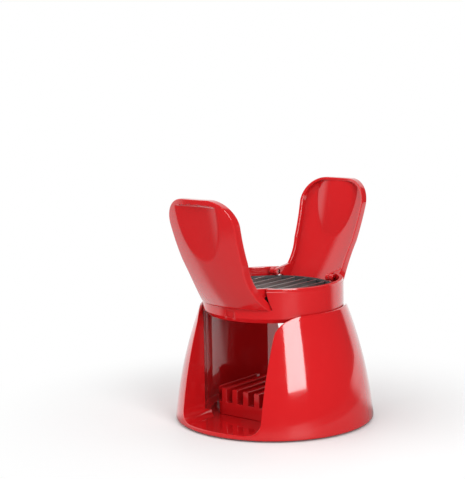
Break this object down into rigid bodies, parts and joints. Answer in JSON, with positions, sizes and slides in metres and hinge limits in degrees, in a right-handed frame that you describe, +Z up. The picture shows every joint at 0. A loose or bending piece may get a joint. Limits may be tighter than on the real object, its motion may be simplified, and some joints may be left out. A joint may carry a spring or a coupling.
{
  "type": "press slicer",
  "caption": "Bell-shaped press slicer: a ring of parallel blades slides down the base's bore into a slotted comb, worked by petal handles hinged on the ring.",
  "frame": {"origin": "centre of the base on the table", "axes": "+Z up, blades and comb slots along Y, hinge axes along X, front window towards -Y"},
  "size_m": [0.134, 0.1648, 0.156],
  "materials": {
    "red_plastic": "polished moulding",
    "dark_plastic": "fine texture",
    "blade_steel": "ground",
    "screw_steel": "zinc plated",
    "foot_rubber": "matt"
  },
  "bodies": {
    "base": {"base_shell": "red_plastic", "floor_plate": "red_plastic", "comb_bed": "red_plastic", "foot_pads": "foot_rubber", "floor_screws": "screw_steel", "comb_screws": "screw_steel"},
    "cutter_head": {"cutter_ring": "red_plastic", "blade_frame": "dark_plastic", "blade_clamp_ring": "dark_plastic", "blade_1": "blade_steel", "blade_2": "blade_steel", "blade_3": "blade_steel", "blade_4": "blade_steel", "blade_5": "blade_steel", "blade_6": "blade_steel", "blade_7": "blade_steel", "front_left_hinge_pin": "screw_steel", "front_right_hinge_pin": "screw_steel", "rear_left_hinge_pin": "screw_steel", "rear_right_hinge_pin": "screw_steel"},
    "front_handle": {"front_wing": "red_plastic"},
    "rear_handle": {"rear_wing": "red_plastic"}
  },
  "joints": [
    {"name": "head_slide", "type": "slide", "parent": "base", "child": "cutter_head", "axis": [0, 0, -1], "range_m": [0, 0.065]},
    {"name": "front_fold", "type": "hinge", "parent": "cutter_head", "child": "front_handle", "pos_m": [0, -0.0335, 0.0928], "axis": [-1, 0, 0], "range_deg": [0, 59]},
    {"name": "rear_fold", "type": "hinge", "parent": "cutter_head", "child": "rear_handle", "pos_m": [0, 0.0335, 0.0928], "axis": [1, 0, 0], "range_deg": [0, 59]}
  ]
}
